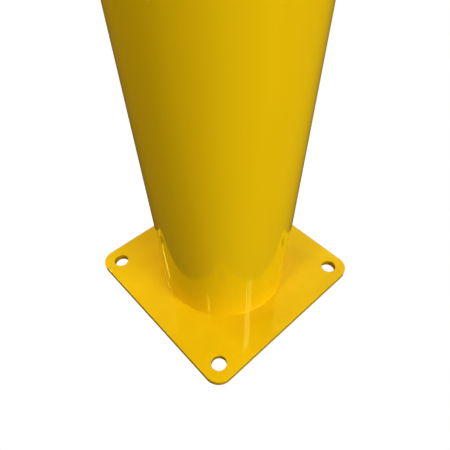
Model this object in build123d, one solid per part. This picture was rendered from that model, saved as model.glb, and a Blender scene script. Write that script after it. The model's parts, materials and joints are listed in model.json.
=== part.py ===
from build123d import *
import math
import os

# Surface-mounted steel safety bollard: a 6 in pipe welded to a square floor plate, closed by a push-in end cap.
# The origin is the centre of the plate's underside and +Z runs up the post. The plate's sides lie along X and Y.
# Sizes are in millimetres; sizes bought or cut in inches are written in inches.

INCH = 25.4

# Whole bollard
BOLLARD_HEIGHT = 36 * INCH  # floor to the crown of the cap

# Floor plate
PLATE_SIDE = 10 * INCH
PLATE_THICKNESS = 0.375 * INCH
PLATE_CORNER_RADIUS = 0.75 * INCH
PLATE_EDGE_BREAK = 0.6
ANCHOR_HOLE_DIAMETER = 0.75 * INCH
ANCHOR_EDGE_DISTANCE = 0.875 * INCH  # hole centre to each of the two nearest sides
ANCHOR_HOLE_BREAK = 0.4

# Post: 6 in schedule 40 pipe
PIPE_OUTSIDE_DIAMETER = 6.625 * INCH
PIPE_WALL = 0.280 * INCH
PIPE_RIM_BREAK = 0.8

# Welds between pipe and plate
INSIDE_WELD_LEG = 6.0
INSIDE_WELD_BULGE = 0.7
INSIDE_WELD_LEDGE = 7.5  # bare plate between the weld's toe and the opening the torch reaches through
SEAL_WELD_HEIGHT = 2.0  # up the pipe; the pipe's foot is bevelled by the same amount
SEAL_WELD_TOE = 1.8  # out along the plate

# End cap: one moulding with a low dome, a flange on the pipe's rim and a ribbed skirt in its bore
CAP_DOME_RISE = 15.0
CAP_FLANGE_THICKNESS = 6.0
CAP_FLANGE_SETBACK = 0.6  # of the flange inside the pipe's outside wall
CAP_SHOULDER_RADIUS = 2.5
CAP_WALL = 3.5
CAP_SKIRT_LENGTH = 42.0
CAP_SKIRT_GAP = 1.6
CAP_SKIRT_LEAD_IN = 2.0
CAP_RIB_COUNT = 4
CAP_RIB_CLEARANCE = 0.08
CAP_RIB_ROOT_WIDTH = 3.2
CAP_RIB_CREST_WIDTH = 1.0
CAP_RIB_EMBED = 0.5  # of the rib's root in the skirt

# Places that follow from the sizes above
ANCHOR_SPACING = PLATE_SIDE - 2 * ANCHOR_EDGE_DISTANCE
PIPE_RADIUS = PIPE_OUTSIDE_DIAMETER / 2
BORE_RADIUS = PIPE_RADIUS - PIPE_WALL
OPENING_RADIUS = BORE_RADIUS - INSIDE_WELD_LEG - INSIDE_WELD_LEDGE
RIM_HEIGHT = BOLLARD_HEIGHT - CAP_DOME_RISE - CAP_FLANGE_THICKNESS


def turned(outline):
    """Turns a closed outline, drawn as (radius, height) points, round the post's axis."""
    return revolve(Plane.XZ * make_face(outline), Axis.Z)


def base_plate():
    """Square plate with rounded corners, four anchor holes and a round opening under the pipe."""
    on_floor = (Align.CENTER, Align.CENTER, Align.MIN)
    plate = Box(PLATE_SIDE, PLATE_SIDE, PLATE_THICKNESS, align=on_floor)
    plate = fillet(plate.edges().filter_by(Axis.Z), PLATE_CORNER_RADIUS)
    plate = chamfer(plate.faces().sort_by(Axis.Z)[-1].edges(), PLATE_EDGE_BREAK)
    plate -= Cylinder(OPENING_RADIUS, PLATE_THICKNESS, align=on_floor)
    for corner in GridLocations(ANCHOR_SPACING, ANCHOR_SPACING, 2, 2):
        plate -= corner * anchor_hole()
    return plate


def anchor_hole():
    """The material one anchor hole takes out of the plate, with the hole's upper edge broken."""
    radius = ANCHOR_HOLE_DIAMETER / 2
    return turned(
        Polyline(
            (0, 0),
            (radius, 0),
            (radius, PLATE_THICKNESS - ANCHOR_HOLE_BREAK),
            (radius + ANCHOR_HOLE_BREAK, PLATE_THICKNESS),
            (0, PLATE_THICKNESS),
            close=True,
        )
    )


def post_pipe():
    """The pipe, standing on the plate: bevelled outside at the foot, with both edges of the rim broken."""
    return turned(
        Polyline(
            (BORE_RADIUS, PLATE_THICKNESS),
            (PIPE_RADIUS - SEAL_WELD_HEIGHT, PLATE_THICKNESS),
            (PIPE_RADIUS, PLATE_THICKNESS + SEAL_WELD_HEIGHT),
            (PIPE_RADIUS, RIM_HEIGHT - PIPE_RIM_BREAK),
            (PIPE_RADIUS - PIPE_RIM_BREAK, RIM_HEIGHT),
            (BORE_RADIUS + PIPE_RIM_BREAK, RIM_HEIGHT),
            (BORE_RADIUS, RIM_HEIGHT - PIPE_RIM_BREAK),
            close=True,
        )
    )


def inside_weld():
    """Round-faced fillet weld in the corner between the pipe's bore and the plate."""
    root = (BORE_RADIUS, PLATE_THICKNESS)
    toe = (BORE_RADIUS - INSIDE_WELD_LEG, PLATE_THICKNESS)
    top = (BORE_RADIUS, PLATE_THICKNESS + INSIDE_WELD_LEG)
    middle = INSIDE_WELD_LEG / 2 + INSIDE_WELD_BULGE / math.sqrt(2)
    crest = (BORE_RADIUS - middle, PLATE_THICKNESS + middle)
    return turned(Line(root, toe) + ThreePointArc(toe, crest, top) + Line(top, root))


def seal_weld():
    """Small hollow-faced bead that fills the bevel at the pipe's foot and feathers out on to the plate."""
    root = (PIPE_RADIUS - SEAL_WELD_HEIGHT, PLATE_THICKNESS)
    toe = (PIPE_RADIUS + SEAL_WELD_TOE, PLATE_THICKNESS)
    top = (PIPE_RADIUS, PLATE_THICKNESS + SEAL_WELD_HEIGHT)
    share = 1 - math.sqrt(0.5)  # of each leg, where a quarter ellipse comes nearest to the corner
    throat = (PIPE_RADIUS + share * SEAL_WELD_TOE, PLATE_THICKNESS + share * SEAL_WELD_HEIGHT)
    return turned(Line(root, toe) + ThreePointArc(toe, throat, top) + Line(top, root))


def end_cap():
    """The cap in one piece: its body with a ring of each gripping rib added to the skirt."""
    skirt_radius = BORE_RADIUS - CAP_SKIRT_GAP
    rib_pitch = CAP_SKIRT_LENGTH / (CAP_RIB_COUNT + 1)
    cap = cap_body(skirt_radius)
    for step in range(1, CAP_RIB_COUNT + 1):
        cap += grip_rib(skirt_radius, RIM_HEIGHT - step * rib_pitch)
    return cap


def cap_body(skirt_radius):
    """Dome, flange and skirt, hollow from below, with a rounded shoulder where the dome meets the flange."""
    flange_radius = PIPE_RADIUS - CAP_FLANGE_SETBACK
    hollow_radius = skirt_radius - CAP_WALL
    shoulder = (flange_radius, RIM_HEIGHT + CAP_FLANGE_THICKNESS)
    skirt_bottom = RIM_HEIGHT - CAP_SKIRT_LENGTH

    dome_radius = (flange_radius**2 + CAP_DOME_RISE**2) / (2 * CAP_DOME_RISE)
    inner_radius = dome_radius - CAP_WALL
    centre = (0, BOLLARD_HEIGHT - dome_radius)
    dome_angle = math.degrees(math.asin(flange_radius / dome_radius))
    inner_angle = math.degrees(math.asin(hollow_radius / inner_radius))
    dome = CenterArc(centre, dome_radius, 90 - dome_angle, dome_angle)
    ceiling = CenterArc(centre, inner_radius, 90 - inner_angle, inner_angle)

    outside = Polyline(
        shoulder,
        (flange_radius, RIM_HEIGHT),
        (skirt_radius, RIM_HEIGHT),
        (skirt_radius, skirt_bottom + CAP_SKIRT_LEAD_IN),
        (skirt_radius - CAP_SKIRT_LEAD_IN / 2, skirt_bottom),
        (hollow_radius, skirt_bottom),
        ceiling @ 0,
    )
    section = make_face(dome + outside + ceiling + Line(ceiling @ 1, dome @ 1))
    section = fillet(section.vertices().sort_by_distance(shoulder)[0], CAP_SHOULDER_RADIUS)
    return revolve(Plane.XZ * section, Axis.Z)


def grip_rib(skirt_radius, height):
    """One tapered ring round the skirt that bears on the pipe's bore."""
    root = skirt_radius - CAP_RIB_EMBED
    crest = BORE_RADIUS - CAP_RIB_CLEARANCE
    return turned(
        Polyline(
            (root, height - CAP_RIB_ROOT_WIDTH / 2),
            (skirt_radius, height - CAP_RIB_ROOT_WIDTH / 2),
            (crest, height - CAP_RIB_CREST_WIDTH / 2),
            (crest, height + CAP_RIB_CREST_WIDTH / 2),
            (skirt_radius, height + CAP_RIB_ROOT_WIDTH / 2),
            (root, height + CAP_RIB_ROOT_WIDTH / 2),
            close=True,
        )
    )


PARTS = {
    "base_plate": base_plate,
    "post_pipe": post_pipe,
    "inside_weld": inside_weld,
    "seal_weld": seal_weld,
    "end_cap": end_cap,
}

os.makedirs("parts", exist_ok=True)
for node, make in PARTS.items():
    export_step(make(), f"parts/{node}.step")
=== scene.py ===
import json
import math

import bmesh
import bpy
import mathutils
import numpy as np
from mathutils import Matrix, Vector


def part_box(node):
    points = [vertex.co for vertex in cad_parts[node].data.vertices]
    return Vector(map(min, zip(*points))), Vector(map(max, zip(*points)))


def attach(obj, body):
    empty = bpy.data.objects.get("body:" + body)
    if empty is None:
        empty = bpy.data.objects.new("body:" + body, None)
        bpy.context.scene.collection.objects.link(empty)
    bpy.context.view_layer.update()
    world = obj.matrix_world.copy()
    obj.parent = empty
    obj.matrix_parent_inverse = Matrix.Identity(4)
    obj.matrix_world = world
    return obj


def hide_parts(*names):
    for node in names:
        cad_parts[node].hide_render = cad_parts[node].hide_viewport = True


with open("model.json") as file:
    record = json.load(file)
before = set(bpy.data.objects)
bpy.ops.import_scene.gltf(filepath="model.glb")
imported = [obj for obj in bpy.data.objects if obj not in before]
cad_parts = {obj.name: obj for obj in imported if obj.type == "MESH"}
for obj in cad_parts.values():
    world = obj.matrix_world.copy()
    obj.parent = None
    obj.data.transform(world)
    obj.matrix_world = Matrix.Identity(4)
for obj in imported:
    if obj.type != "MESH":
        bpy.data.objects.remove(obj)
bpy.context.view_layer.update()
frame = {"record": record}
MM = 0.001


# ---------------------------------------------------------------- Floor plate
# A laser-cut square of 3/8 in steel with rounded corners, four holes for floor anchors and a round
# opening under the pipe. Gloss safety yellow powder coat softens its cut edges, with fine orange peel.

plate_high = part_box("base_plate")[1]
plate_half = plate_high.x
plate_top = plate_high.z
plate_corner = 19.05 * MM
plate_soft_edge = 0.5 * MM
plate_foot_edge = 0.4 * MM
anchor_dims = next(m["dims"] for m in frame["record"]["mounts"] if m["name"] == "anchor_holes")
anchor_place = anchor_dims["spacing_x_mm"] / 2 * MM
anchor_radius = anchor_dims["hole_r_mm"] * MM
anchor_soft_edge = 0.6 * MM
weld_low, weld_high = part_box("inside_weld")
bore_radius = weld_high.x
inside_weld_leg = weld_high.z - weld_low.z
opening_ledge = 7.5 * MM
opening_radius = bore_radius - inside_weld_leg - opening_ledge

merge_distance = 0.002 * MM

peel_size = 1.6 * MM
peel_depth = 0.0015 * MM
cloud_size = 45 * MM
cloud_stretch = (1, 1, 0.12)
smoothest_gloss = 0.03
dullest_gloss = 0.05
striation_pitch = 0.5 * MM
striation_depth = 0.05 * MM
striation_stretch = (1, 1, 0.03)
safety_yellow = (0.91, 0.53, 0.003, 1)
yellow_in_thin_film = (0.87, 0.495, 0.002, 1)
# A darker yellow for the plate's cut edges: partly thinner paint, partly painted shade of the plate's sides.
thin_paint_and_shade_on_cut_edge = (0.66, 0.375, 0.002, 1)
gloss_tint = (1.0, 0.93, 0.11, 1)
gloss_index = 1.58


def shell(name, grids):
    """One smooth closed mesh from grids of points (row, column, xyz). Every four neighbouring points of a
    grid make a face, borders that meet are merged, and the faces are turned outwards."""
    points, faces, count = [], [], 0
    for grid in grids:
        rows, columns = grid.shape[:2]
        number = count + np.arange(rows * columns).reshape(rows, columns)
        corners = [number[:-1, :-1], number[:-1, 1:], number[1:, 1:], number[1:, :-1]]
        faces.append(np.stack(corners, axis=-1).reshape(-1, 4))
        points.append(grid.reshape(-1, 3))
        count += rows * columns
    mesh = bpy.data.meshes.new(name)
    mesh.from_pydata(np.concatenate(points), [], np.concatenate(faces).tolist())
    made = bmesh.new()
    made.from_mesh(mesh)
    bmesh.ops.remove_doubles(made, verts=made.verts, dist=merge_distance)
    bmesh.ops.dissolve_degenerate(made, edges=made.edges, dist=merge_distance / 2)
    bmesh.ops.recalc_face_normals(made, faces=made.faces)
    made.to_mesh(mesh)
    made.free()
    mesh.shade_smooth()
    piece = bpy.data.objects.new(name, mesh)
    bpy.context.collection.objects.link(piece)
    return piece


def arc(centre, radius, start, end, count):
    """Points on an arc: the centre plus the radius times the cosine and sine of even steps in degrees."""
    angle = np.radians(np.linspace(start, end, count))
    return np.array(centre) + radius * np.column_stack([np.cos(angle), np.sin(angle)])


def plate_outline(inset, count=40):
    """A quarter of the rounded square: half a side, the corner's arc and half the next side."""
    half = plate_half - inset
    bend = plate_half - plate_corner
    return np.concatenate([
        np.linspace((half, 0), (half, bend), count)[:-1],
        arc((bend, bend), plate_corner - inset, 0, 90, count),
        np.linspace((bend, half), (0, half), count)[1:],
    ])


def opening_outline(inset, count=60):
    """A quarter of the opening's edge, from the Y axis round to the X axis."""
    return arc((0, 0), opening_radius + inset, 90, 0, count)


def rays_from_hole(side_inset, opening_inset, count=24):
    """Direction and length of the straight rays from a quarter's anchor hole to the border of that quarter:
    the opening's edge, the X axis, the plate's outline and the Y axis, back to the first point."""
    inner = opening_outline(opening_inset)
    outer = plate_outline(side_inset)
    border = np.concatenate([
        inner[:-1],
        np.linspace(inner[-1], outer[0], count)[:-1],
        outer[:-1],
        np.linspace(outer[-1], inner[0], count),
    ])
    away = border - anchor_place
    length = np.linalg.norm(away, axis=1, keepdims=True)
    return away / length, length


def at_height(outline, height):
    """Flat points put at one height."""
    return np.column_stack([outline, np.full(len(outline), height)])


def quarter_face(height, side_inset, hole_inset, opening_inset):
    """A quarter of the flat face: each ray from the hole's edge to the border is cut at the same shares of
    its length, close together at both ends so that the soft edges don't shade the flat."""
    direction, length = rays_from_hole(side_inset, opening_inset)
    edge = anchor_radius + hole_inset
    shares = np.array([0, 0.01, 0.04, 0.12, 0.3, 0.5, 0.7, 0.88, 0.96, 0.99, 1])
    rings = [anchor_place + direction * (edge + share * (length - edge)) for share in shares]
    return np.stack([at_height(ring, height) for ring in rings])


def cut_edge(top_round, foot_round, count=7):
    """Inset and height down a cut edge: a quarter round at the top, the straight cut, a quarter round at
    the foot. One more point beside each round keeps the cut's shading flat."""
    turn = np.radians(np.linspace(0, 90, count))
    top = np.column_stack([top_round * (1 - np.sin(turn)), plate_top - top_round * (1 - np.cos(turn))])
    foot = np.column_stack([foot_round * (1 - np.cos(turn)), foot_round * (1 - np.sin(turn))])
    hold = [(0, plate_top - 1.3 * top_round), (0, 1.5 * foot_round)]
    return np.concatenate([top, hold, foot])


def anchor_hole_wall(profile):
    """The hole's edge carried down its profile. Its columns turn from the top face's rays to the foot's."""
    top = rays_from_hole(plate_soft_edge, anchor_soft_edge)[0]
    foot = rays_from_hole(plate_foot_edge, plate_foot_edge)[0]
    rows = []
    for share, (inset, height) in zip(np.linspace(0, 1, len(profile)), profile):
        direction = (1 - share) * top + share * foot
        direction /= np.linalg.norm(direction, axis=1, keepdims=True)
        rows.append(at_height(anchor_place + direction * (anchor_radius + inset), height))
    return np.stack(rows)


def four_quarters(grid):
    """The grid and its copies turned by 90, 180 and 270 degrees about the post's axis."""
    x, y, z = grid[..., 0], grid[..., 1], grid[..., 2]
    return [grid, np.dstack([-y, x, z]), np.dstack([-x, -y, z]), np.dstack([y, -x, z])]


def build_floor_plate():
    """The plate as one closed shell: two faces, the outside edge, the opening's edge and four hole walls."""
    side_edge = cut_edge(plate_soft_edge, plate_foot_edge)
    hole_edge = cut_edge(anchor_soft_edge, plate_foot_edge)
    quarter = [
        quarter_face(plate_top, plate_soft_edge, anchor_soft_edge, anchor_soft_edge),
        quarter_face(0, plate_foot_edge, plate_foot_edge, plate_foot_edge),
        np.stack([at_height(plate_outline(inset), height) for inset, height in side_edge]),
        np.stack([at_height(opening_outline(inset), height) for inset, height in hole_edge]),
        anchor_hole_wall(hole_edge),
    ]
    return shell("floor_plate", [part for grid in quarter for part in four_quarters(grid)])


def add(tree, kind, inputs=None, **settings):
    """A shader node with its settings. Each input gets a number or a colour, or is linked from a socket."""
    made = tree.nodes.new(kind)
    for label, value in settings.items():
        setattr(made, label, value)
    for label, value in (inputs or {}).items():
        if isinstance(value, bpy.types.NodeSocket):
            tree.links.new(value, made.inputs[label])
        else:
            made.inputs[label].default_value = value
    return made


def object_place(tree):
    """The point on the piece, in metres from the middle of the plate's underside."""
    return add(tree, "ShaderNodeTexCoord").outputs["Object"]


def stretched(tree, place, factors):
    """The place with each coordinate multiplied by a factor of its own, so that small factors draw out a
    pattern along their axis."""
    return add(tree, "ShaderNodeVectorMath", {0: place, 1: factors}, operation="MULTIPLY").outputs[0]


def noise(tree, place, size, detail=2.0, roughness=0.5):
    """Soft random patches about as wide as size, from 0 to 1."""
    inputs = {"Vector": place, "Scale": 1 / size, "Detail": detail, "Roughness": roughness}
    return add(tree, "ShaderNodeTexNoise", inputs).outputs[0]


def span(tree, value, low, high, to_low=0.0, to_high=1.0):
    """The value's way from low to high, carried smoothly to the way from to_low to to_high."""
    inputs = {"Value": value, "From Min": low, "From Max": high, "To Min": to_low, "To Max": to_high}
    return add(tree, "ShaderNodeMapRange", inputs, interpolation_type="SMOOTHSTEP").outputs[0]


def mixed(tree, share, colour, other):
    """One colour turning into the other as the share goes from 0 to 1."""
    return add(tree, "ShaderNodeMix", {0: share, 6: colour, 7: other}, data_type="RGBA").outputs[2]


def calculated(tree, operation, value, other):
    """Two numbers joined by a Math operation."""
    return add(tree, "ShaderNodeMath", {0: value, 1: other}, operation=operation).outputs[0]


def new_group(name, inputs, outputs):
    """A shader node group with named number inputs and named number outputs."""
    tree = bpy.data.node_groups.new(name, "ShaderNodeTree")
    for label, value in inputs.items():
        socket = tree.interface.new_socket(label, in_out="INPUT", socket_type="NodeSocketFloat")
        socket.default_value = value
    for label in outputs:
        tree.interface.new_socket(label, in_out="OUTPUT", socket_type="NodeSocketFloat")
    return tree, tree.nodes.new("NodeGroupInput").outputs, tree.nodes.new("NodeGroupOutput").inputs


def orange_peel_group():
    """Fine rolling height of a baked powder coat, its film thickness in broad clouds drawn out along the
    post, and its gloss."""
    inputs = {"Peel Size": peel_size, "Cloud Size": cloud_size}
    tree, given, made = new_group("orange_peel", inputs, ["Height", "Film", "Gloss"])
    place = object_place(tree)
    drawn_out = stretched(tree, place, cloud_stretch)
    peel_scale = calculated(tree, "DIVIDE", 1.0, given["Peel Size"])
    cloud_scale = calculated(tree, "DIVIDE", 1.0, given["Cloud Size"])
    peel = add(tree, "ShaderNodeTexNoise", {"Vector": place, "Scale": peel_scale, "Detail": 1.0})
    cloud = add(tree, "ShaderNodeTexNoise", {"Vector": drawn_out, "Scale": cloud_scale, "Detail": 3.0})
    tree.links.new(peel.outputs[0], made["Height"])
    tree.links.new(span(tree, cloud.outputs[0], 0.3, 0.7), made["Film"])
    tree.links.new(span(tree, cloud.outputs[0], 0.25, 0.75, smoothest_gloss, dullest_gloss), made["Gloss"])
    return tree


def new_material(name):
    """An empty node material: itself, its tree and its surface shader."""
    material = bpy.data.materials.new(name)
    material.use_nodes = True
    return material, material.node_tree, material.node_tree.nodes["Principled BSDF"]


def connect(tree, shader, links):
    """Links sockets to the shader's inputs."""
    for label, socket in links.items():
        tree.links.new(socket, shader.inputs[label])


def safety_paint_material(name, cut_edges=False):
    """Gloss yellow powder coat: one smooth film, a touch deeper where it is thin, with a faint orange peel.
    On the plate's cut edges, told by their height, it is darker, partly as thinner paint and partly as
    painted shade, and shows the laser's upright lines."""
    material, tree, shader = new_material(name)
    skin = add(tree, "ShaderNodeGroup", node_tree=orange_peel)
    colour = mixed(tree, skin.outputs["Film"], yellow_in_thin_film, safety_yellow)
    peel = {"Height": skin.outputs["Height"], "Distance": peel_depth}
    normal = add(tree, "ShaderNodeBump", peel).outputs[0]
    if cut_edges:
        place = object_place(tree)
        height = add(tree, "ShaderNodeSeparateXYZ", {0: place}).outputs[2]
        below_top = span(tree, height, plate_top - plate_soft_edge, plate_top - 1.6 * plate_soft_edge)
        above_foot = span(tree, height, 0.5 * plate_foot_edge, plate_foot_edge)
        on_edge = calculated(tree, "MULTIPLY", below_top, above_foot)
        upright = stretched(tree, place, striation_stretch)
        lines = calculated(tree, "MULTIPLY", noise(tree, upright, striation_pitch, 1), on_edge)
        # The cut edges get the darker yellow: partly thinner paint, partly painted shade.
        colour = mixed(tree, on_edge, colour, thin_paint_and_shade_on_cut_edge)
        cut = {"Height": lines, "Distance": striation_depth, "Normal": normal}
        normal = add(tree, "ShaderNodeBump", cut).outputs[0]
    shader.inputs["Specular Tint"].default_value = gloss_tint
    shader.inputs["IOR"].default_value = gloss_index
    connect(tree, shader, {"Base Color": colour, "Roughness": skin.outputs["Gloss"], "Normal": normal})
    return material


def finish_piece(piece, body, slot, *replaced):
    """Sets the piece on its body and puts it in the place of the plain CAD nodes, which it hides. The slot is
    not used.
    """
    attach(piece, body)
    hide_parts(*replaced)


orange_peel = orange_peel_group()
safety_paint = safety_paint_material("safety_paint")
floor_plate = build_floor_plate()
floor_plate.data.materials.append(safety_paint_material("plate_paint", cut_edges=True))
finish_piece(floor_plate, "post", "safety_yellow", "base_plate")


# ---------------------------------------------------------------- Seal weld
# A small hollow bead of weld metal that closes the joint outside the pipe. It is dressed smooth and painted
# over, so it shows only as a fine line of light and shade round the pipe's foot.

seal_low, seal_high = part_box("seal_weld")
pipe_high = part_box("post_pipe")[1]
pipe_radius = pipe_high.x
seal_height = seal_high.z - seal_low.z
seal_toe = seal_high.x - pipe_radius
seal_unevenness = 0.05 * MM
seal_hollow = 1.7


def turned(radius, height, angle):
    """Radii and heights, each a column for the profile or a full grid, carried round the post's axis."""
    return np.dstack([radius * np.cos(angle), radius * np.sin(angle), height + 0 * angle])


def waves(angle, counts, seed):
    """A sum of sine waves round the circle, each with its own whole count and random start, from -1 to 1."""
    start = np.random.default_rng(seed).uniform(0, 2 * math.pi, len(counts))
    return sum(np.sin(n * angle + s) for n, s in zip(counts, start)) / len(counts)


def build_seal_weld():
    """A hollow quarter ellipse from the plate to the pipe, closed under the pipe's bevel. Its two legs grow
    and shrink a little round the joint by sums of waves."""
    angle = np.linspace(0, 2 * math.pi, 721)
    toe = seal_toe + seal_unevenness * waves(angle, (5, 13, 31, 74), 1)
    top = seal_height + seal_unevenness * waves(angle, (7, 17, 41, 90), 2)
    turn = np.radians(np.linspace(0, 90, 11))[:, None]
    root = np.array([[pipe_radius - seal_height]]) + 0 * angle
    radius = np.vstack([root, pipe_radius + toe * (1 - np.sin(turn)) ** seal_hollow, root])
    height = np.vstack([0 * root, top * (1 - np.cos(turn)) ** seal_hollow, 0 * root]) + plate_top
    return shell("seal_bead", [turned(radius, height, angle)])


seal_bead = build_seal_weld()
seal_bead.data.materials.append(safety_paint)
finish_piece(seal_bead, "post", "safety_yellow", "seal_weld")


# ---------------------------------------------------------------- Pipe
# One length of 6 in nominal welded steel pipe with a 7.1 mm wall. Its outside is powder coated. Inside,
# paint only dusts the two ends, and the rest is dark mill scale with the low ridge of the mill's seam.

rim_break = 0.8 * MM
pipe_ring_pitch = 12 * MM
roll_wave = 0.012 * MM
roll_length = 45 * MM
mill_seam_angle = math.radians(135)
mill_seam_width = 5.0 * MM
mill_seam_height = 0.9 * MM
mill_seam_taper = 12 * MM
overspray_reach = 90 * MM

scale_patch = 14 * MM
bloom_patch = 30 * MM
overspray_patch = 9 * MM
grit_size = 1.2 * MM
grit_depth = 0.03 * MM
mill_scale = (0.055, 0.052, 0.052, 1)
mill_scale_worn = (0.16, 0.15, 0.145, 1)
rust_bloom = (0.19, 0.075, 0.028, 1)


def softened(corners, radii, count=6, hold=0.4):
    """An outline of straight sides with round corners. Each corner becomes an arc that touches its two sides,
    with one more point close by on each side; a radius of 0 leaves a corner as it is."""
    outline = []
    for i, radius in enumerate(radii):
        corner = np.array(corners[i], float)
        if radius == 0:
            outline.append(corner)
            continue
        before = corners[i - 1] - corner
        after = corners[(i + 1) % len(corners)] - corner
        before, after = before / np.linalg.norm(before), after / np.linalg.norm(after)
        half_angle = math.acos(before @ after) / 2
        reach = radius / math.tan(half_angle)
        centre = corner + (before + after) / np.linalg.norm(before + after) * radius / math.sin(half_angle)
        first, last = corner + before * reach - centre, corner + after * reach - centre
        sweep = math.pi - 2 * half_angle
        share = np.linspace(0, 1, count)[:, None]
        spokes = (np.sin((1 - share) * sweep) * first + np.sin(share * sweep) * last) / math.sin(sweep)
        outline.append(corner + before * (reach + hold * radius))
        outline.extend(centre + spokes)
        outline.append(corner + after * (reach + hold * radius))
    return np.array(outline)


def divided(outline, longest):
    """The outline with its long straight runs cut into equal steps no longer than the longest."""
    points = [outline[:1]]
    for start, end in zip(outline[:-1], outline[1:]):
        steps = max(1, math.ceil(np.linalg.norm(end - start) / longest))
        points.append(np.linspace(start, end, steps + 1)[1:])
    return np.concatenate(points)


def build_pipe():
    """A closed ring profile turned round the axis. The outside rolls very slightly in and out, by waves round
    the pipe that come and go along it; the bore has a half-round ridge along the mill's seam."""
    corners = [
        (bore_radius, plate_top),
        (pipe_radius - seal_height, plate_top),
        (pipe_radius, plate_top + seal_height),
        (pipe_radius, pipe_high.z),
        (bore_radius, pipe_high.z),
    ]
    profile = softened(corners, [0.05 * MM, 0.05 * MM, 0.2 * MM, rim_break, rim_break])
    profile = divided(np.vstack([profile, profile[:1]]), pipe_ring_pitch)
    radius, height = profile[:, :1], profile[:, 1:]
    seam = mill_seam_angle + np.linspace(-0.6, 0.6, 13) * mill_seam_width / bore_radius
    angle = np.unique(np.concatenate([np.linspace(0, 2 * math.pi, 289), seam]))

    outside = np.clip((radius - pipe_radius) / MM + 1.5, 0, 1)
    roll = waves(angle, (3, 5, 8), 3) * np.cos(height / roll_length) + waves(angle, (2, 4, 7), 4)
    across = (angle - mill_seam_angle) * bore_radius / (mill_seam_width / 2)
    from_foot = (height - plate_top - inside_weld_leg) / mill_seam_taper - 0.5
    from_cap = (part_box("end_cap")[0].z - height) / mill_seam_taper - 0.5
    ridge = np.sqrt(np.clip(1 - across**2, 0, 1)) * np.clip(from_foot, 0, 1) * np.clip(from_cap, 0, 1)
    on_bore = radius < bore_radius + 0.01 * MM
    radius = radius + roll_wave * roll * outside - mill_seam_height * ridge * on_bore
    return shell("pipe", [turned(radius, height, angle)])


def bore_steel_material():
    """Dark mill scale with rust blooms, fading under yellow overspray towards both ends of the pipe."""
    material, tree, shader = new_material("bore_steel")
    place = object_place(tree)
    height = add(tree, "ShaderNodeSeparateXYZ", {0: place}).outputs[2]
    patches = noise(tree, place, scale_patch, 5, 0.6)
    scale = mixed(tree, span(tree, patches, 0.45, 0.7), mill_scale, mill_scale_worn)
    blooms = span(tree, noise(tree, place, bloom_patch, 6, 0.7), 0.55, 0.7, 0, 0.7)
    steel = mixed(tree, blooms, scale, rust_bloom)
    drift = calculated(tree, "MULTIPLY", noise(tree, place, overspray_patch, 6, 0.75), overspray_reach)
    from_foot = calculated(tree, "ADD", height, drift)
    from_head = calculated(tree, "SUBTRACT", height, drift)
    thin, thick = overspray_reach * 1.5, overspray_reach * 0.4
    foot_mist = span(tree, from_foot, thin, thick)
    head_mist = span(tree, from_head, pipe_high.z - thin, pipe_high.z - thick)
    mist = calculated(tree, "MAXIMUM", foot_mist, head_mist)
    colour = mixed(tree, mist, steel, yellow_in_thin_film)
    dull = span(tree, patches, 0.3, 0.7, 0.45, 0.62)
    grains = noise(tree, place, grit_size, 4, 0.6)
    grit = add(tree, "ShaderNodeBump", {"Height": grains, "Distance": grit_depth})
    connect(tree, shader, {"Base Color": colour, "Roughness": dull, "Normal": grit.outputs[0]})
    return material


def finish_bore(piece, material):
    """The faces nearer to the axis than the wall's inner edge get a second material."""
    piece.data.materials.append(material)
    faces = piece.data.polygons
    middle = np.empty(len(faces) * 3)
    faces.foreach_get("center", middle)
    distance = np.hypot(middle[0::3], middle[1::3])
    faces.foreach_set("material_index", (distance < bore_radius + rim_break / 2).astype(np.int32))


pipe = build_pipe()
pipe.data.materials.append(safety_paint)
finish_bore(pipe, bore_steel_material())
finish_piece(pipe, "post", "safety_yellow", "post_pipe")


# ---------------------------------------------------------------- Inside weld
# The weld that holds the post: one run of overlapping ripples in the corner between the bore and the plate,
# laid through the plate's opening. Paint only mists it.

ripple_pitch = 2.4 * MM
ripple_depth = 0.22 * MM
ripple_bow = 1.4 * MM
weld_bulge = 0.5 * MM
bulge_unevenness = 0.12 * MM

tint_patch = 6 * MM
mist_patch = 2.5 * MM
weld_grain_size = 0.5 * MM
weld_grain_depth = 0.02 * MM
weld_metal = (0.23, 0.215, 0.20, 1)
weld_straw_tint = (0.30, 0.19, 0.08, 1)


def build_inside_weld():
    """A bulging arc from the plate to the bore, turned round the axis. The ripples are waves of the distance
    round the joint, set back towards the bead's two edges so that they bow, and flat at the edges."""
    angle = np.linspace(0, 2 * math.pi, 1501)
    share = np.linspace(0, 1, 15)[:, None]
    crown = 4 * share * (1 - share)
    ripples = round(2 * math.pi * bore_radius / ripple_pitch)
    phase = ripples * angle - 2 * math.pi * ripple_bow / ripple_pitch * (1 - crown)
    ridge = ripple_depth * np.abs(np.sin(phase / 2)) * np.sqrt(crown)
    bulge = (weld_bulge + bulge_unevenness * waves(angle, (3, 11, 29), 5)) * crown
    out = (bulge + ridge) / math.sqrt(2)
    root = np.array([[bore_radius]]) + 0 * angle
    radius = np.vstack([root, bore_radius - inside_weld_leg * (1 - share) - out, root])
    height = np.vstack([0 * root, inside_weld_leg * share + out, 0 * root]) + plate_top
    return shell("root_bead", [turned(radius, height, angle)])


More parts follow.
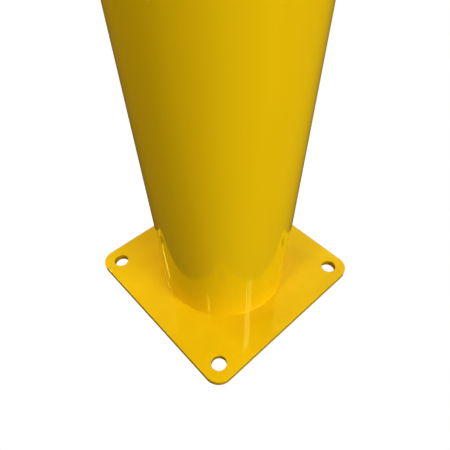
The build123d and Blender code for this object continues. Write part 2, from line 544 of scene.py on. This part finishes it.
def weld_metal_material():
    """Grey weld metal with straw heat tint under a thin yellow mist."""
    material, tree, shader = new_material("weld_metal")
    place = object_place(tree)
    tint = span(tree, noise(tree, place, tint_patch, 3), 0.4, 0.7)
    metal = mixed(tree, tint, weld_metal, weld_straw_tint)
    mist = span(tree, noise(tree, place, mist_patch, 6, 0.7), 0.42, 0.62)
    colour = mixed(tree, mist, metal, yellow_in_thin_film)
    dull = span(tree, mist, 0, 1, 0.32, 0.5)
    shine = span(tree, mist, 0, 1, 0.9, 0.0)
    fine = noise(tree, place, weld_grain_size, 3)
    grain = add(tree, "ShaderNodeBump", {"Height": fine, "Distance": weld_grain_depth})
    links = {"Base Color": colour, "Roughness": dull, "Metallic": shine, "Normal": grain.outputs[0]}
    connect(tree, shader, links)
    return material


root_bead = build_inside_weld()
root_bead.data.materials.append(weld_metal_material())
finish_piece(root_bead, "post", "weld_metal", "inside_weld")


# ---------------------------------------------------------------- End cap
# A black polyethylene moulding that pushes into the pipe: a low dome on a flange that sits on the rim, and a
# hollow skirt with four tapered ribs. The mould left a fine leather grain and a gate mark on the crown.

cap_low, cap_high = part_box("end_cap")
rim_height = pipe_high.z
flange_radius = pipe_radius - 0.6 * MM
flange_top = rim_height + 6 * MM
shoulder_round = 2.5 * MM
cap_wall = 3.5 * MM
skirt_radius = bore_radius - 1.6 * MM
skirt_lead_in = 2.0 * MM
rib_count = 4
rib_crest = bore_radius - 0.08 * MM
rib_root_width = 3.2 * MM
rib_crest_width = 1.0 * MM
gate_radius = 5.0 * MM
gate_depth = 0.45 * MM
grain_pitch = 1.1 * MM
grain_depth = 0.09 * MM
scuff_patch = 12 * MM

cap_black = (0.016, 0.016, 0.017, 1)
cap_scuffed = (0.045, 0.045, 0.047, 1)


def cap_outline():
    """Radius and height round the cap's section: the gate mark, out over the dome to the shoulder, in under
    the flange, down the skirt and its ribs, and back up inside to the middle of the ceiling. Dome and
    ceiling are arcs of two spheres with one centre."""
    crown = cap_high.z
    rise = crown - flange_top
    sphere = (flange_radius**2 + rise**2) / (2 * rise)
    hollow = skirt_radius - cap_wall
    outline = [
        ((0, crown - gate_depth / 2), 0),
        ((0.3 * gate_radius, crown - gate_depth / 2), 0.1 * MM),
        ((0.34 * gate_radius, crown - gate_depth), 0.1 * MM),
        ((0.9 * gate_radius, crown - gate_depth), 0.2 * MM),
        ((gate_radius, crown), 0.15 * MM),
    ]
    for radius in np.linspace(gate_radius + 2 * MM, flange_radius - 2 * shoulder_round, 36):
        outline.append(((radius, crown - sphere + math.sqrt(sphere**2 - radius**2)), 0))
    outline += [
        ((flange_radius, flange_top), shoulder_round),
        ((flange_radius, rim_height), 0.4 * MM),
        ((skirt_radius, rim_height), 0.3 * MM),
    ]
    for rib in range(1, rib_count + 1):
        middle = rim_height - rib * (rim_height - cap_low.z) / (rib_count + 1)
        outline += [
            ((skirt_radius, middle + rib_root_width / 2), 0.3 * MM),
            ((rib_crest, middle + rib_crest_width / 2), 0.25 * MM),
            ((rib_crest, middle - rib_crest_width / 2), 0.25 * MM),
            ((skirt_radius, middle - rib_root_width / 2), 0.3 * MM),
        ]
    inner = sphere - cap_wall
    outline += [
        ((skirt_radius, cap_low.z + skirt_lead_in), 0.4 * MM),
        ((skirt_radius - skirt_lead_in / 2, cap_low.z), 0.4 * MM),
        ((hollow, cap_low.z), 0.4 * MM),
        ((hollow, crown - sphere + math.sqrt(inner**2 - hollow**2)), 2.0 * MM),
    ]
    for radius in np.linspace(hollow - 4 * MM, 0, 24):
        outline.append(((radius, crown - sphere + math.sqrt(inner**2 - radius**2)), 0))
    corners, radii = zip(*outline)
    return softened(np.array(corners), radii)


def cap_plastic_material():
    """Black moulded polyethylene: a fine leather grain, duller and greyer where handling has scuffed it."""
    material, tree, shader = new_material("cap_plastic")
    place = object_place(tree)
    scuffs = span(tree, noise(tree, place, scuff_patch, 8, 0.72), 0.56, 0.72, 0, 0.6)
    colour = mixed(tree, scuffs, cap_black, cap_scuffed)
    dull = span(tree, scuffs, 0, 0.6, 0.36, 0.52)
    inputs = {"Vector": place, "Scale": 1 / grain_pitch}
    cells = add(tree, "ShaderNodeTexVoronoi", inputs, feature="SMOOTH_F1")
    grain = add(tree, "ShaderNodeBump", {"Height": cells.outputs[0], "Distance": grain_depth})
    connect(tree, shader, {"Base Color": colour, "Roughness": dull, "Normal": grain.outputs[0]})
    return material


cap_profile = cap_outline()
cap_turns = np.linspace(0, 2 * math.pi, 257)
cap_moulding = shell("cap_moulding", [turned(cap_profile[:, :1], cap_profile[:, 1:], cap_turns)])
cap_moulding.data.materials.append(cap_plastic_material())
finish_piece(cap_moulding, "cap", "cap_plastic", "end_cap")


# ---------------------------------------------------------------- Studio
# A plain pale floor, which looks darker in the paint than to the eye so that the gloss keeps its depth. Two
# large soft lamps stand on the post's right, one on its left and two behind it, with a small one high in
# front for the shadows and three narrow ones for the streaks in the gloss.

floor_half = 12.0
floor_gap = 0.2 * MM
floor_seen = (1, 1, 1, 1)
floor_mirrored = (0.045, 0.04, 0.025, 1)
room_mirrored = (0.05, 0.047, 0.035, 1)
lamp_distance = 6.0
cool_white = (0.94, 1.0, 0.84)
warm_white = (1.0, 0.98, 0.75)
window_white = (0.85, 1.0, 2.2)
amber_white = (1.0, 0.95, 0.5)


def build_floor():
    """A flat square just under the plate, drawn as an even grid."""
    across = np.linspace(-floor_half, floor_half, 3)
    x, y = np.meshgrid(across, across)
    floor = shell("studio_floor", [np.dstack([x, y, np.full_like(x, -floor_gap)])])
    material, tree, shader = new_material("floor_white")
    ray = add(tree, "ShaderNodeLightPath").outputs["Is Camera Ray"]
    seen = add(tree, "ShaderNodeEmission", {"Color": floor_seen, "Strength": 1.0})
    mirrored = add(tree, "ShaderNodeBsdfDiffuse", {"Color": floor_mirrored})
    chosen = add(tree, "ShaderNodeMixShader", {0: ray, 1: mirrored.outputs[0], 2: seen.outputs[0]})
    tree.links.new(chosen.outputs[0], tree.nodes["Material Output"].inputs["Surface"])
    floor.data.materials.append(material)
    return floor


def looking_back(azimuth, elevation, roll=0.0):
    """The turn of a camera or lamp that looks at the middle of the plate from this azimuth and elevation."""
    turn = mathutils.Matrix.Rotation(math.radians(azimuth), 3, "Z")
    turn = turn @ mathutils.Matrix.Rotation(math.radians(90 - elevation), 3, "X")
    return turn @ mathutils.Matrix.Rotation(math.radians(roll), 3, "Z")


def soft_light(name, azimuth, elevation, size, power, colour, roll=0.0):
    """A rectangular area light that looks at the middle of the plate."""
    light = bpy.data.lights.new(name, "AREA")
    light.shape = "RECTANGLE"
    light.size, light.size_y = size
    light.energy = power
    light.color = colour
    lamp = bpy.data.objects.new(name, light)
    bpy.context.collection.objects.link(lamp)
    turn = looking_back(azimuth, elevation, roll)
    lamp.location = turn @ mathutils.Vector((0, 0, lamp_distance))
    lamp.rotation_euler = turn.to_euler()
    lamp.visible_camera = False
    return lamp


build_floor()
soft_light("key_high", azimuth=92, elevation=35, size=(4.0, 3.4), power=171, colour=cool_white)
soft_light("key_low", azimuth=92, elevation=13, size=(4.0, 2.2), power=174, colour=cool_white)
soft_light("fill", azimuth=300, elevation=20, size=(3.2, 3.0), power=162, colour=warm_white)
front = soft_light("front", azimuth=6, elevation=60, size=(0.5, 0.5), power=67, colour=cool_white)
front.visible_glossy = False
soft_light("back_left", azimuth=250, elevation=50, size=(3.2, 3.0), power=21, colour=amber_white)
soft_light("back_right", azimuth=205, elevation=50, size=(4.5, 3.0), power=60, colour=amber_white)
soft_light(
    "strip_right", azimuth=95.5, elevation=60.5, size=(0.62, 1.2), power=31, colour=window_white, roll=-12
)
soft_light("strip_front", azimuth=15.5, elevation=59.8, size=(0.2, 0.4), power=5.5, colour=warm_white)
soft_light("strip_left", azimuth=281, elevation=50, size=(0.17, 0.95), power=32, colour=warm_white)

world = bpy.data.worlds.new("studio")
bpy.context.scene.world = world
world.use_nodes = True
world_tree = world.node_tree
ray = add(world_tree, "ShaderNodeLightPath").outputs["Is Camera Ray"]
around = add(world_tree, "ShaderNodeBackground", {"Color": room_mirrored, "Strength": 1.0})
seen = add(world_tree, "ShaderNodeBackground", {"Color": floor_seen, "Strength": 1.0})
sky = add(world_tree, "ShaderNodeMixShader", {0: ray, 1: around.outputs[0], 2: seen.outputs[0]})
world_tree.links.new(sky.outputs[0], world_tree.nodes["World Output"].inputs["Surface"])


# ---------------------------------------------------------------- Camera
# A wide lens held just above and to one side of the foot, looking steeply down past the pipe.

camera_azimuth = 46.757
camera_elevation = 53.163
camera_roll = 0.202
camera_place = (0.24217, -0.21442, 0.45430)
camera_lens = 30.731
camera_shift = (-0.0138, 0.0726)

lens = bpy.data.cameras.new("camera")
lens.lens = camera_lens
lens.sensor_width = 36
lens.shift_x, lens.shift_y = camera_shift
lens.clip_start, lens.clip_end = 0.01, 100
camera = bpy.data.objects.new("camera", lens)
bpy.context.collection.objects.link(camera)
camera.location = camera_place
camera.rotation_euler = looking_back(camera_azimuth, camera_elevation, camera_roll).to_euler()
bpy.context.scene.camera = camera
bpy.context.scene.view_settings.view_transform = "Standard"
